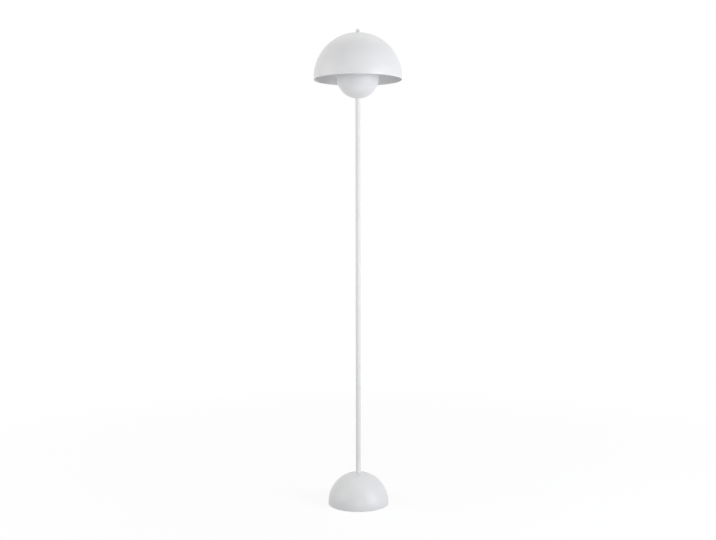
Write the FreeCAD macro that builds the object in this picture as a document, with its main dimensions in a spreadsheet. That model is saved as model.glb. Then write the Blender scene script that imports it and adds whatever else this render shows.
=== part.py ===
import FreeCAD, Part
import math
import os
import re

import Sketcher

# A mushroom floor lamp: a domed base with an iron weight, a pole screwed together from two tubes, an
# upward-facing bowl with the lampholder and bulb, and a dome shade carried on a harp and held by a finial.
# Millimetres, +Z up, origin on the floor under the middle of the base, +Y towards the back.

SIZES = {
    # fits
    "thread_play": 0.05,            # radial play where a thread engages
    "hole_play": 0.3,               # radial play in a plain hole
    "seat_gap": 0.3,                # gap between curved faces that seat on each other
    "wall_play": 0.05,              # play of a rubber or pressed-in piece against its wall
    # base
    "base_diameter": 160.0,
    "base_wall": 1.5,
    "base_skirt": 3.0,              # straight part of the shell under the dome
    "base_ledge": 1.5,              # flat ring on top of the dome outside the pole
    "shell_lift": 0.8,              # the shell's edge above the floor
    "pad_thickness": 2.2,
    "pad_margin": 3.5,
    "weight_height": 29.8,
    "weight_bevel": 2.0,
    "recess_diameter": 72.0,
    "recess_depth": 19.8,
    "cord_bore": 6.5,
    "cord_height": 10.0,            # middle of the cord hole above the floor
    "channel_margin": 1.75,
    "grommet_neck": 1.75,
    "grommet_lip": 1.5,
    "grommet_lip_depth": 1.6,
    # threaded tubes, washers and nuts
    "nipple_diameter": 10.0,
    "nipple_bore": 7.6,
    "nipple_end": 1.0,              # thread left standing past its nut
    "thread_hold": 12.0,            # thread engaged in a pole insert
    "nut_wall": 2.0,
    "nut_height": 4.0,
    "base_washer_diameter": 30.0,
    "base_washer_thickness": 1.6,
    "lock_washer_diameter": 18.0,
    "lock_washer_thickness": 1.0,
    "bowl_washer_diameter": 18.0,
    "bowl_washer_thickness": 1.5,
    # pole
    "pole_diameter": 13.0,
    "pole_wall": 1.0,
    "pole_section": 494.0,
    "pole_bevel": 0.3,
    "insert_length": 15.0,
    # wiring in the base
    "clamp_length": 26.0,
    "clamp_width": 8.0,
    "clamp_height": 7.0,
    "clamp_distance": 24.0,         # middle of the clamp behind the lamp's axis
    "screw_spacing": 17.0,
    "screw_diameter": 3.0,
    "screw_head_diameter": 5.6,
    "screw_head_height": 2.0,
    "screw_hold": 5.0,
    "block_length": 12.0,
    "block_width": 20.0,
    "block_height": 14.0,
    "block_distance": 22.0,         # middle of the terminal block beside the axis
    "lead_diameter": 2.2,
    "lead_spacing": 3.0,
    "lead_height": 2.6,             # middle of a lead above the terminal block's lower face
    "lead_bend": 6.0,
    # bowl
    "bowl_diameter": 110.0,
    "bowl_wall": 1.2,
    "bowl_flat": 20.0,
    "bowl_skirt": 10.0,
    # harp
    "harp_span": 64.0,
    "harp_height": 154.8,
    "harp_width": 10.0,
    "harp_thickness": 1.5,
    "harp_foot_span": 42.0,
    "harp_head_span": 22.0,
    "harp_flare": 18.0,             # height over which the legs spread from the foot
    "harp_shoulder": 46.0,          # height over which the legs close towards the head
    "harp_bend": 9.0,
    "stud_diameter": 5.0,
    "stud_head_diameter": 9.0,
    "stud_head_height": 1.5,
    "stud_nut_wall": 1.5,
    "stud_nut_height": 3.0,
    "seat_diameter": 22.0,
    "seat_thickness": 1.0,
    # lampholder, small screw base
    "holder_diameter": 27.5,
    "holder_wall": 1.8,
    "holder_neck_diameter": 16.0,
    "holder_neck_height": 5.0,
    "holder_shoulder": 5.0,         # height over which the cap widens above its neck
    "holder_entry": 6.0,            # depth of the threaded entry
    "holder_cap_height": 20.0,
    "holder_lip": 3.4,
    "core_floor": 6.0,
    "core_height": 24.0,
    "terminal_spacing": 14.0,
    "screw_shell_wall": 0.4,
    "contact_diameter": 7.0,
    "contact_height": 2.2,
    # bulb
    "thread_diameter": 13.9,
    "thread_depth": 0.5,
    "thread_pitch": 2.82,
    "thread_clearance": 0.15,
    "cap_wall": 0.35,
    "cap_foot": 3.6,                # contact's face to the lower edge of the screw cap
    "cap_height": 20.6,
    "button_diameter": 4.8,
    "button_height": 1.4,
    "collar_height": 16.0,
    "collar_wall": 1.2,
    "collar_neck": 4.0,             # length pressed into the screw cap
    "collar_diameter": 18.6,
    "globe_diameter": 45.0,
    "globe_wall": 1.0,
    "bulb_length": 78.0,
    "board_thickness": 1.6,
    "chip_side": 3.0,
    "chip_height": 0.7,
    "chip_circle": 18.0,
    # shade
    "shade_diameter": 230.0,
    "shade_wall": 1.2,
    "shade_skirt": 6.0,
    "shade_flat": 34.0,
    # finial
    "finial_washer_diameter": 12.0,
    "finial_washer_thickness": 0.8,
    "finial_diameter": 10.6,
    "finial_neck": 8.0,
    "finial_height": 11.2,
    "finial_bore_depth": 8.6,
}

# Heights above the floor and other derived sizes, each from the sizes above it.
LEVELS = {
    "pad_top": "pad_thickness",
    "shell_inner": "base_diameter/2 - base_wall",
    "shell_centre": "shell_lift + base_skirt",
    "base_flat": "pole_diameter/2 + base_ledge",
    "dome_rise": "sqrt((base_diameter/2)^2 - base_flat^2)",
    "base_top": "shell_centre + dome_rise",
    "dome_inner_flat": "sqrt(shell_inner^2 - (dome_rise - base_wall)^2)",
    "shoulder_level": "pad_top + weight_height - weight_bevel",
    "weight_radius": "sqrt(shell_inner^2 - (shoulder_level - shell_centre)^2) - seat_gap",
    "ceiling": "pad_top + recess_depth",
    "base_nut_foot": "ceiling - base_washer_thickness - lock_washer_thickness - nut_height",
    "base_nipple_foot": "base_nut_foot - nipple_end",
    "nut_circle": "(nipple_diameter/2 + thread_play + nut_wall)/cos(30)",
    "neck_radius": "cord_bore/2 + grommet_neck",
    "pole_bore": "pole_diameter/2 - pole_wall",
    "pole_middle": "base_top + pole_section",
    "pole_top": "pole_middle + pole_section",
    "bowl_inner": "bowl_diameter/2 - bowl_wall",
    "bowl_rise": "sqrt((bowl_diameter/2)^2 - (bowl_flat/2)^2)",
    "bowl_inner_flat": "sqrt(bowl_inner^2 - (bowl_rise - bowl_wall)^2)",
    "bowl_floor": "pole_top + bowl_wall",
    "bowl_nut_foot": "bowl_floor + bowl_washer_thickness",
    "harp_foot": "bowl_nut_foot + nut_height",
    "holder_foot": "harp_foot + harp_thickness",
    "core_foot": "holder_foot + holder_cap_height",
    "contact_foot": "core_foot + core_floor",
    "bulb_foot": "contact_foot + contact_height + seat_gap",
    "cap_level": "bulb_foot + cap_foot",
    "collar_foot": "cap_level + cap_height",
    "holder_top": "collar_foot - seat_gap",
    "globe_foot": "collar_foot + collar_height",
    "globe_centre": "bulb_foot + bulb_length - globe_diameter/2",
    "globe_mouth": "sqrt((globe_diameter/2)^2 - (globe_centre - globe_foot)^2)",
    "thread_crest": "thread_diameter/2",
    "thread_root": "thread_crest - thread_depth",
    "shell_crest": "thread_crest + thread_clearance",
    "shell_root": "shell_crest + thread_depth",
    "core_bore": "shell_root + screw_shell_wall + wall_play",
    "holder_bore": "holder_diameter/2 - holder_wall",
    "cap_bore": "thread_root - cap_wall",
    "collar_slope": "(globe_mouth - collar_diameter/2)/(collar_height - collar_wall)",
    "board_radius": "globe_mouth - collar_wall - board_thickness*collar_slope - seat_gap/2",
    "stud_hole": "stud_diameter/2 + hole_play/2",
    "harp_top": "harp_foot + harp_height",
    "seat_level": "harp_top + stud_nut_height",
    "shade_inner": "shade_diameter/2 - shade_wall",
    "shade_rise": "sqrt((shade_diameter/2)^2 - (shade_flat/2)^2)",
    "shade_inner_flat": "sqrt(shade_inner^2 - (shade_rise - shade_wall)^2)",
    "shade_top": "seat_level + seat_thickness + shade_wall",
    "shade_rim": "shade_top - shade_rise - shade_skirt",
    "finial_seat": "shade_top + finial_washer_thickness",
    "stud_top": "finial_seat + finial_bore_depth - seat_gap",
}

doc = FreeCAD.newDocument("MushroomFloorLamp")
sheet = doc.addObject("Spreadsheet::Sheet", "Sizes")
for row, (name, number) in enumerate(SIZES.items(), start=1):
    sheet.set(f"A{row}", name)
    sheet.set(f"B{row}", str(number))
    sheet.setAlias(f"B{row}", name)
doc.recompute()
levels = doc.addObject("App::VarSet", "Levels")
levels_named = set()
nodes = []


def bound(text):
    """A formula in plain names, with each name pointed at the sheet or at the derived levels."""
    def owner(word):
        name = word.group()
        if name in SIZES:
            return "Sizes." + name
        return "Levels." + name if name in levels_named else name
    return re.sub(r"[A-Za-z_]\w*", owner, text)


def value(text):
    """What a formula in plain names comes to, in millimetres."""
    return float(sheet.evalExpression(bound(text)))


for name, text in LEVELS.items():
    levels.addProperty("App::PropertyFloat", name, "Derived")
    levels.setExpression(name, bound(text))
    levels_named.add(name)
    doc.recompute()


def place(piece, seat, x="0", y="0"):
    """Sets a piece down at its height, and beside the axis where it has another place."""
    for axis, text in (("x", x), ("y", y), ("z", seat)):
        piece.setExpression(f"Placement.Base.{axis}", bound(text))


def node(piece):
    """Keeps a piece as one of the lamp's own parts."""
    nodes.append(piece)
    return piece


def origin_plane(body, role):
    return next(feature for feature in body.Origin.OriginFeatures if feature.Role == role)


def sketch_on(body, name, role):
    sketch = body.newObject("Sketcher::SketchObject", name)
    sketch.AttachmentSupport = [(origin_plane(body, role), "")]
    sketch.MapMode = "FlatFace"
    return sketch


def pin(sketch, kind, name, edge, end, text):
    """Holds one coordinate of a sketch point at a formula."""
    number = value(text)
    if abs(number) < 1e-9:
        axis = -2 if kind == "DistanceX" else -1
        sketch.addConstraint(Sketcher.Constraint("PointOnObject", edge, end, axis))
        return
    index = sketch.addConstraint(Sketcher.Constraint(kind, -1, 1, edge, end, number))
    sketch.renameConstraint(index, name)
    sketch.setExpression(f"Constraints.{name}", bound(text))


def turned(label, outline, seat="0"):
    """A piece of revolution. Each point of its outline is (radius, height) as formulas. A third formula
    makes the stretch to the next point an arc about that height on the axis."""
    body = doc.addObject("PartDesign::Body", label)
    sketch = sketch_on(body, label + "_outline", "XZ_Plane")
    points = [(value(point[0]), value(point[1])) for point in outline]
    edges = []
    starts = []
    for index, point in enumerate(outline):
        start = FreeCAD.Vector(*points[index], 0)
        end = FreeCAD.Vector(*points[(index + 1) % len(points)], 0)
        if len(point) == 2:
            edges.append(Part.LineSegment(start, end))
            starts.append(1)
            continue
        centre = FreeCAD.Vector(0, value(point[2]), 0)
        circle = Part.Circle(centre, FreeCAD.Vector(0, 0, 1), (start - centre).Length)
        first = math.atan2(start.y - centre.y, start.x)
        last = math.atan2(end.y - centre.y, end.x)
        edges.append(Part.ArcOfCircle(circle, min(first, last), max(first, last)))
        starts.append(1 if first < last else 2)
    sketch.addGeometry(edges, False)
    for index in range(len(outline)):
        following = (index + 1) % len(outline)
        joint = Sketcher.Constraint("Coincident", index, 3 - starts[index], following, starts[following])
        sketch.addConstraint(joint)
    for index, point in enumerate(outline):
        pin(sketch, "DistanceX", f"radius_{index}", index, starts[index], point[0])
        pin(sketch, "DistanceY", f"height_{index}", index, starts[index], point[1])
        if len(point) == 3:
            sketch.addConstraint(Sketcher.Constraint("PointOnObject", index, 3, -2))
    doc.recompute()
    turn = body.newObject("PartDesign::Revolution", label + "_turn")
    turn.Profile = sketch
    turn.ReferenceAxis = (sketch, ["V_Axis"])
    turn.Angle = 360
    place(body, seat)
    doc.recompute()
    return body


def ring(label, inner, outer, height, seat):
    """A washer, sleeve or disc with a hole, from its two radii and its height."""
    return turned(label, [(inner, "0"), (outer, "0"), (outer, height), (inner, height)], seat)


def cylinder(label, radius, height, seat="0", x="0", y="0"):
    piece = doc.addObject("Part::Cylinder", label)
    piece.setExpression("Radius", bound(radius))
    piece.setExpression("Height", bound(height))
    place(piece, seat, x, y)
    return piece


def lying_cylinder(label, radius, seat, start, length):
    """A cylinder along +Y from a distance behind the axis."""
    piece = cylinder(label, radius, length, seat, "0", start)
    piece.Placement.Rotation = FreeCAD.Rotation(FreeCAD.Vector(1, 0, 0), -90)
    return piece


def block(label, length, width, height, seat, x="0", y="0"):
    """A box whose middle in plan is at x, y."""
    piece = doc.addObject("Part::Box", label)
    for side, text in (("Length", length), ("Width", width), ("Height", height)):
        piece.setExpression(side, bound(text))
    place(piece, seat, f"{x} - ({length})/2", f"{y} - ({width})/2")
    return piece


def cut(label, base, tools):
    """The base less its tools, in order."""
    for index, tool in enumerate(tools):
        last = index == len(tools) - 1
        remainder = doc.addObject("Part::Cut", label if last else f"{label}_cut_{index}")
        remainder.Base = base
        remainder.Tool = tool
        base = remainder
    return base


def hex_nut(label, circle, hole, height, seat):
    blank = doc.addObject("Part::Prism", label + "_blank")
    blank.Polygon = 6
    blank.setExpression("Circumradius", bound(circle))
    blank.setExpression("Height", bound(height))
    place(blank, seat)
    return cut(label, blank, [cylinder(label + "_thread", hole, height, seat)])


def group(label, pieces):
    """Several alike pieces that share one node."""
    together = doc.addObject("Part::Compound", label)
    together.Links = pieces
    return together


def screw(label, head, hold, x, y):
    """A pan-head screw driven upwards: the head's upper face is at the height head."""
    outline = [
        ("0", "-screw_head_height"),
        ("screw_head_diameter/2", "-screw_head_height"),
        ("screw_head_diameter/2", "0"),
        ("screw_diameter/2", "0"),
        ("screw_diameter/2", hold),
        ("0", hold),
    ]
    piece = turned(label, outline)
    place(piece, head, x, y)
    return piece


def bent_path(corners, radius):
    """Straight runs joined by tangent arcs, from corner points."""
    edges = []
    start = corners[0]
    for before, corner, after in zip(corners, corners[1:], corners[2:]):
        into = (corner - before).normalize()
        out = (after - corner).normalize()
        half_turn = into.getAngle(out) / 2
        setback = radius * math.tan(half_turn)
        first = corner - into * setback
        last = corner + out * setback
        inward = (out - into).normalize()
        middle = corner + inward * (radius / math.cos(half_turn) - radius)
        edges.append(Part.LineSegment(start, first).toShape())
        edges.append(Part.Arc(first, middle, last).toShape())
        start = last
    edges.append(Part.LineSegment(start, corners[-1]).toShape())
    return Part.Wire(edges)


# --- base ---------------------------------------------------------------------------------------------

def base_pad():
    """A felt disc glued under the weight."""
    return ring("base_pad", "0", "shell_inner - pad_margin", "pad_thickness", "0")


def base_shell():
    """The spun steel dome, with the hole for the cord low at the back."""
    hole = "nipple_diameter/2 + hole_play"
    dome = turned("base_dome", [
        ("shell_inner", "0"),
        ("base_diameter/2", "0"),
        ("base_diameter/2", "base_skirt", "base_skirt"),
        ("base_flat", "base_skirt + dome_rise"),
        (hole, "base_skirt + dome_rise"),
        (hole, "base_skirt + dome_rise - base_wall"),
        ("dome_inner_flat", "base_skirt + dome_rise - base_wall", "base_skirt"),
        ("shell_inner", "base_skirt"),
    ], "shell_lift")
    cord_hole = lying_cylinder("cord_hole", "neck_radius", "cord_height", "base_diameter/4",
                               "base_diameter/2")
    return cut("base_shell", dome, [cord_hole])


def cord_grommet():
    """A rubber grommet whose two lips follow the inside and the outside of the dome."""
    def ball(label, radius):
        sphere = doc.addObject("Part::Sphere", label)
        sphere.setExpression("Radius", bound(radius))
        place(sphere, "shell_centre")
        return sphere
    lip = "neck_radius + grommet_lip"
    inner_face = "shell_inner - grommet_lip_depth - grommet_lip"
    rod = lying_cylinder("grommet_rod", lip, "cord_height", inner_face, "base_diameter/4")
    outer = ball("grommet_outside", "base_diameter/2 + grommet_lip_depth")
    blank = doc.addObject("Part::Common", "grommet_blank")
    blank.Base = rod
    blank.Tool = outer
    wall = cut("grommet_wall", ball("wall_outside", "base_diameter/2 + wall_play"), [
        ball("wall_inside", "shell_inner - wall_play"),
        lying_cylinder("wall_neck", "neck_radius - wall_play", "cord_height", "0", "base_diameter"),
    ])
    bore = lying_cylinder("grommet_bore", "cord_bore/2", "cord_height", "0", "base_diameter")
    return cut("cord_grommet", blank, [wall, bore])


def base_weight():
    """The cast iron weight, hollow underneath for the wiring, with a channel to the cord hole."""
    hole = "nipple_diameter/2 + hole_play"
    casting = turned("weight_casting", [
        ("recess_diameter/2", "0"),
        ("weight_radius", "0"),
        ("weight_radius", "weight_height - weight_bevel"),
        ("weight_radius - weight_bevel", "weight_height"),
        (hole, "weight_height"),
        (hole, "recess_depth"),
        ("recess_diameter/2", "recess_depth"),
    ], "pad_top")
    channel = block("weight_channel", "cord_bore + 2*channel_margin", "base_diameter/2",
                    "cord_height + cord_bore/2 + channel_margin - pad_top", "pad_top",
                    "0", "recess_diameter/4 + base_diameter/4")
    holes = [
        cylinder(f"weight_hole_{index}", "screw_diameter/2 + thread_play", "screw_hold + screw_diameter/2",
                 "ceiling", x, y)
        for index, (x, y) in enumerate(screw_places())
    ]
    return cut("base_weight", casting, [channel] + holes)


def screw_places():
    """The two cord clamp screws and the terminal block's screw, in plan."""
    return [
        ("-screw_spacing/2", "clamp_distance"),
        ("screw_spacing/2", "clamp_distance"),
        ("-block_distance", "0"),
    ]


def cord_clamp():
    """A nylon bridge screwed to the weight, with a tunnel for the cord."""
    bridge = block("clamp_bridge", "clamp_length", "clamp_width", "clamp_height", "ceiling - clamp_height",
                   "0", "clamp_distance")
    tunnel = lying_cylinder("clamp_tunnel", "cord_bore/2", "ceiling - cord_bore/4",
                            "clamp_distance - clamp_width", "2*clamp_width")
    holes = [
        cylinder(f"clamp_hole_{index}", "screw_diameter/2 + thread_play", "clamp_height",
                 "ceiling - clamp_height", x, y)
        for index, (x, y) in enumerate(screw_places()[:2])
    ]
    return cut("cord_clamp", bridge, [tunnel] + holes)


def cord_clamp_screws():
    screws = [
        screw(f"clamp_screw_{index}", "ceiling - clamp_height", "clamp_height + screw_hold", x, y)
        for index, (x, y) in enumerate(screw_places()[:2])
    ]
    return group("cord_clamp_screws", screws)


def terminal_block():
    """The mains terminal block, beside the threaded tube under the weight."""
    x, y = screw_places()[2]
    body = block("block_body", "block_length", "block_width", "block_height", "ceiling - block_height", x, y)
    hole = cylinder("block_hole", "screw_diameter/2 + thread_play", "block_height",
                    "ceiling - block_height", x, y)
    return cut("terminal_block", body, [hole])


def terminal_block_screw():
    x, y = screw_places()[2]
    return screw("terminal_block_screw", "ceiling - block_height", "block_height + screw_hold", x, y)


def base_fasteners():
    """What clamps shell, weight and pole together: washer, toothed washer and nut."""
    hole = "nipple_diameter/2 + thread_play"
    washer = ring("base_washer", hole, "base_washer_diameter/2", "base_washer_thickness",
                  "ceiling - base_washer_thickness")
    lock = ring("base_lock_washer", hole, "lock_washer_diameter/2", "lock_washer_thickness",
                "base_nut_foot + nut_height")
    nut = hex_nut("base_nut", "nut_circle", hole, "nut_height", "base_nut_foot")
    return [washer, lock, nut]


# --- pole ---------------------------------------------------------------------------------------------

def nipple(label, foot, top):
    """A threaded tube that the leads pass through."""
    return ring(label, "nipple_bore/2", "nipple_diameter/2", f"{top} - ({foot})", foot)


def pole_tube(label, seat):
    """One of the two pole tubes, its ends lightly bevelled."""
    return turned(label, [
        ("pole_bore", "0"),
        ("pole_diameter/2 - pole_bevel", "0"),
        ("pole_diameter/2", "pole_bevel"),
        ("pole_diameter/2", "pole_section - pole_bevel"),
        ("pole_diameter/2 - pole_bevel", "pole_section"),
        ("pole_bore", "pole_section"),
    ], seat)


def pole_inserts():
    """The four threaded plugs pressed into the ends of the tubes."""
    feet = ["base_top", "pole_middle - insert_length", "pole_middle", "pole_top - insert_length"]
    plugs = [
        ring(f"pole_insert_{index}", "nipple_diameter/2 + thread_play", "pole_bore - wall_play",
             "insert_length", foot)
        for index, foot in enumerate(feet)
    ]
    return group("pole_inserts", plugs)


# --- bowl and harp ------------------------------------------------------------------------------------

def lower_bowl():
    """The spun bowl that hides the lampholder, open upwards."""
    hole = "nipple_diameter/2 + hole_play"
    rim = "bowl_rise + bowl_skirt"
    return turned("lower_bowl", [
        (hole, "0"),
        ("bowl_flat/2", "0", "bowl_rise"),
        ("bowl_diameter/2", "bowl_rise"),
        ("bowl_diameter/2", rim),
        ("bowl_inner", rim),
        ("bowl_inner", "bowl_rise", "bowl_rise"),
        ("bowl_inner_flat", "bowl_wall"),
        (hole, "bowl_wall"),
    ], "pole_top")


def harp():
    """The bent steel strip that carries the shade, in one loop around the bulb."""
    half = value("harp_thickness") / 2
    top = value("harp_height") - half
    foot = value("harp_foot_span") / 2
    leg = value("harp_span") / 2
    head = value("harp_head_span") / 2
    flare = value("harp_flare")
    shoulder = top - value("harp_shoulder")
    right = [(0, half), (foot, half), (leg, flare), (leg, shoulder), (head, top)]
    left = [(-x, z) for x, z in reversed(right)]
    corners = [FreeCAD.Vector(x, 0, z) for x, z in right + left]
    path = bent_path(corners, value("harp_bend"))
    edge = value("harp_width") / 2
    corner_points = [(-edge, 0), (edge, 0), (edge, 2 * half), (-edge, 2 * half), (-edge, 0)]
    section = Part.makePolygon([FreeCAD.Vector(0, y, z) for y, z in corner_points])
    strip = path.makePipeShell([section], True, False)
    for radius, seat in ((value("nipple_diameter/2 + hole_play"), 0), (value("stud_hole"), top - half)):
        hole = Part.makeCylinder(radius, 4 * half, FreeCAD.Vector(0, 0, seat - half))
        strip = strip.cut(hole)
    piece = doc.addObject("Part::Feature", "harp")
    piece.Shape = strip.Solids[0]
    piece.Placement = FreeCAD.Placement(FreeCAD.Vector(0, 0, value("harp_foot")), FreeCAD.Rotation())
    return piece


def bowl_fasteners():
    """The washer and nut that hold the bowl on the pole."""
    hole = "nipple_diameter/2 + thread_play"
    washer = ring("bowl_washer", hole, "bowl_washer_diameter/2", "bowl_washer_thickness", "bowl_floor")
    nut = hex_nut("bowl_nut", "nut_circle", hole, "nut_height", "bowl_nut_foot")
    return [washer, nut]


def harp_stud():
    """The stud riveted through the harp's head, which the finial screws onto."""
    shank = "stud_diameter/2"
    underside = "-harp_thickness"
    head = "-harp_thickness - stud_head_height"
    return turned("harp_stud", [
        ("0", head),
        ("stud_head_diameter/2", head),
        ("stud_head_diameter/2", underside),
        (shank, underside),
        (shank, "stud_top - harp_top"),
        ("0", "stud_top - harp_top"),
    ], "harp_top")


def harp_nut():
    """The thin nut that locks the stud to the harp."""
    circle = "(stud_diameter/2 + thread_play + stud_nut_wall)/cos(30)"
    return hex_nut("harp_nut", circle, "stud_diameter/2 + thread_play", "stud_nut_height", "harp_top")


# --- lampholder ---------------------------------------------------------------------------------------

def lampholder_cap():
    """The lower half of the lampholder, screwed onto the threaded tube."""
    entry = "nipple_diameter/2 + thread_play"
    neck = "holder_neck_diameter/2"
    return turned("lampholder_cap", [
        (entry, "0"),
        (neck, "0"),
        (neck, "holder_neck_height"),
        ("holder_diameter/2", "holder_neck_height + holder_shoulder"),
        ("holder_diameter/2", "holder_cap_height"),
        ("holder_bore", "holder_cap_height"),
        ("holder_bore", "holder_neck_height + holder_shoulder + holder_wall"),
        (neck + " - holder_wall/3", "holder_entry"),
        (entry, "holder_entry"),
    ], "holder_foot")


def lampholder_shell():
    """The upper half, which screws down over the core and keeps it in place."""
    height = "holder_top - core_foot"
    mouth = "holder_bore - holder_lip"
    return turned("lampholder_shell", [
        ("holder_bore", "0"),
        ("holder_diameter/2", "0"),
        ("holder_diameter/2", height),
        (mouth, height),
        (mouth, height + " - holder_wall"),
        ("holder_bore", height + " - holder_wall"),
    ], "core_foot")


def terminal_places():
    return [("0", "-terminal_spacing/2"), ("0", "terminal_spacing/2")]


def lampholder_core():
    """The insulating cup that carries the screw shell, the contact and the terminals."""
    outer = "holder_bore - hole_play"
    cup = turned("core_cup", [
        ("0", "0"),
        (outer, "0"),
        (outer, "core_height"),
        ("core_bore", "core_height"),
        ("core_bore", "core_floor"),
        ("0", "core_floor"),
    ], "core_foot")
    holes = [
        cylinder(f"core_hole_{index}", "screw_diameter/2 + thread_play", "screw_hold", "core_foot", x, y)
        for index, (x, y) in enumerate(terminal_places())
    ]
    return cut("lampholder_core", cup, holes)


def lampholder_terminal_screws():
    screws = [
        screw(f"terminal_screw_{index}", "core_foot", "screw_hold - seat_gap", x, y)
        for index, (x, y) in enumerate(terminal_places())
    ]
    return group("lampholder_terminal_screws", screws)


def threaded_wall(inner_crest, inner_root, wall, turns):
    """The outline of a rolled thread as rings: its outer face upwards, its inner face down again."""
    steps = [
        (inner_root if step % 2 else inner_crest, f"{step}*thread_pitch/2")
        for step in range(2 * turns + 1)
    ]
    outside = [(f"{radius} + {wall}", height) for radius, height in steps]
    return outside, steps[::-1]


def lampholder_screw_shell():
    """The brass screw shell, its rolled rings bulging outwards."""
    turns = int(value("core_height - core_floor") / value("thread_pitch"))
    outside, inside = threaded_wall("shell_crest", "shell_root", "screw_shell_wall", turns)
    return turned("lampholder_screw_shell", outside + inside, "contact_foot")


def lampholder_contact():
    """The centre contact, a sprung button on the core's floor."""
    return turned("lampholder_contact", [
        ("0", "0"),
        ("contact_diameter/2", "0"),
        ("contact_diameter/2", "contact_height/4"),
        ("contact_diameter/4", "contact_height/4"),
        ("contact_diameter/4", "contact_height"),
        ("0", "contact_height"),
    ], "contact_foot")


def lead(label, side):
    """An insulated lead from the terminal block, up through the pole, to its lampholder terminal."""
    radius = value("lead_diameter") / 2
    near = side * value("lead_spacing") / 2
    far = side * value("terminal_spacing") / 2
    bend = value("lead_bend")
    low = value("ceiling - block_height + lead_height")
    start = value("block_length/2 - block_distance")
    leave = value("holder_foot + holder_entry") + bend / 2
    terminal = value("core_foot - screw_head_height")
    corners = [
        FreeCAD.Vector(start, near, low),
        FreeCAD.Vector(0, near, low),
        FreeCAD.Vector(0, near, leave),
        FreeCAD.Vector(0, far, terminal - bend / 2),
        FreeCAD.Vector(0, far, terminal),
    ]
    path = bent_path(corners, bend)
    section = Part.Wire(Part.makeCircle(radius, corners[0], FreeCAD.Vector(1, 0, 0)))
    piece = doc.addObject("Part::Feature", label)
    piece.Shape = path.makePipeShell([section], True, False).Solids[0]
    piece.Placement = FreeCAD.Placement()
    return piece


# --- bulb ---------------------------------------------------------------------------------------------

def bulb_contact():
    return ring("bulb_contact", "0", "button_diameter/2", "button_height", "bulb_foot")


def bulb_insulator():
    """The black glass between the centre contact and the screw cap."""
    plug = "cap_bore - wall_play"
    return turned("bulb_insulator", [
        ("0", "button_height"),
        ("button_diameter/2 + hole_play", "button_height"),
        (plug, "cap_foot"),
        (plug, "cap_foot + button_height"),
        ("0", "cap_foot + button_height"),
    ], "bulb_foot")


def bulb_screw_cap():
    """The rolled brass screw cap, with a plain band under the collar."""
    turns = int(value("cap_height") / value("thread_pitch")) - 1
    outside, inside = threaded_wall("thread_root - cap_wall", "thread_crest - cap_wall", "cap_wall", turns)
    band = [("thread_root", "cap_height"), ("thread_root - cap_wall", "cap_height")]
    return turned("bulb_screw_cap", outside + band + inside, "cap_level")


def bulb_collar():
    """The plastic collar between the screw cap and the globe."""
    neck = "cap_bore - wall_play"
    return turned("bulb_collar", [
        (neck + " - collar_wall", "-collar_neck"),
        (neck, "-collar_neck"),
        (neck, "0"),
        ("collar_diameter/2", "0"),
        ("globe_mouth", "collar_height"),
        ("globe_mouth - collar_wall", "collar_height"),
        ("collar_diameter/2 - collar_wall", "collar_wall"),
        (neck + " - collar_wall", "collar_wall"),
    ], "collar_foot")


def led_board():
    return ring("led_board", "0", "board_radius", "board_thickness", "globe_foot - board_thickness")


def led_chips():
    count = 8
    chips = []
    for index in range(count):
        angle = f"{index}*360/{count}"
        chips.append(block(f"led_chip_{index}", "chip_side", "chip_side", "chip_height", "globe_foot",
                           f"chip_circle/2*cos({angle})", f"chip_circle/2*sin({angle})"))
    return group("led_chips", chips)


def bulb_globe():
    """The opal globe."""
    foot = "globe_foot - globe_centre"
    inner = "globe_diameter/2 - globe_wall"
    return turned("bulb_globe", [
        (f"sqrt(({inner})^2 - ({foot})^2)", foot),
        ("globe_mouth", foot, "0"),
        ("0", "globe_diameter/2"),
        ("0", inner, "0"),
    ], "globe_centre")


# --- shade and finial ---------------------------------------------------------------------------------

def shade_seat():
    """The nylon washer that the shade turns on."""
    return ring("shade_seat", "stud_hole", "seat_diameter/2", "seat_thickness", "seat_level")


def upper_shade():
    """The spun steel dome shade, its top flattened around the finial."""
    hole = "stud_diameter/2 + hole_play"
    crown = "shade_skirt + shade_rise"
    return turned("upper_shade", [
        ("shade_inner", "0"),
        ("shade_diameter/2", "0"),
        ("shade_diameter/2", "shade_skirt", "shade_skirt"),
        ("shade_flat/2", crown),
        (hole, crown),
        (hole, crown + " - shade_wall"),
        ("shade_inner_flat", crown + " - shade_wall", "shade_skirt"),
        ("shade_inner", "shade_skirt"),
    ], "shade_rim")


def finial_washer():
    return ring("finial_washer", "stud_hole", "finial_washer_diameter/2", "finial_washer_thickness",
                "shade_top")


def finial():
    """The turned knob, a ball on a short neck, with a blind threaded bore."""
    ball = "finial_diameter/2"
    centre = "(finial_height - finial_diameter/2)"
    bore = "stud_diameter/2 + thread_play"
    return turned("finial", [
        (bore, "0"),
        ("finial_neck/2", "0"),
        ("finial_neck/2", f"{centre} - sqrt(({ball})^2 - (finial_neck/2)^2)", centre),
        ("0", "finial_height"),
        ("0", "finial_bore_depth"),
        (bore, "finial_bore_depth"),
    ], "finial_seat")


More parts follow.
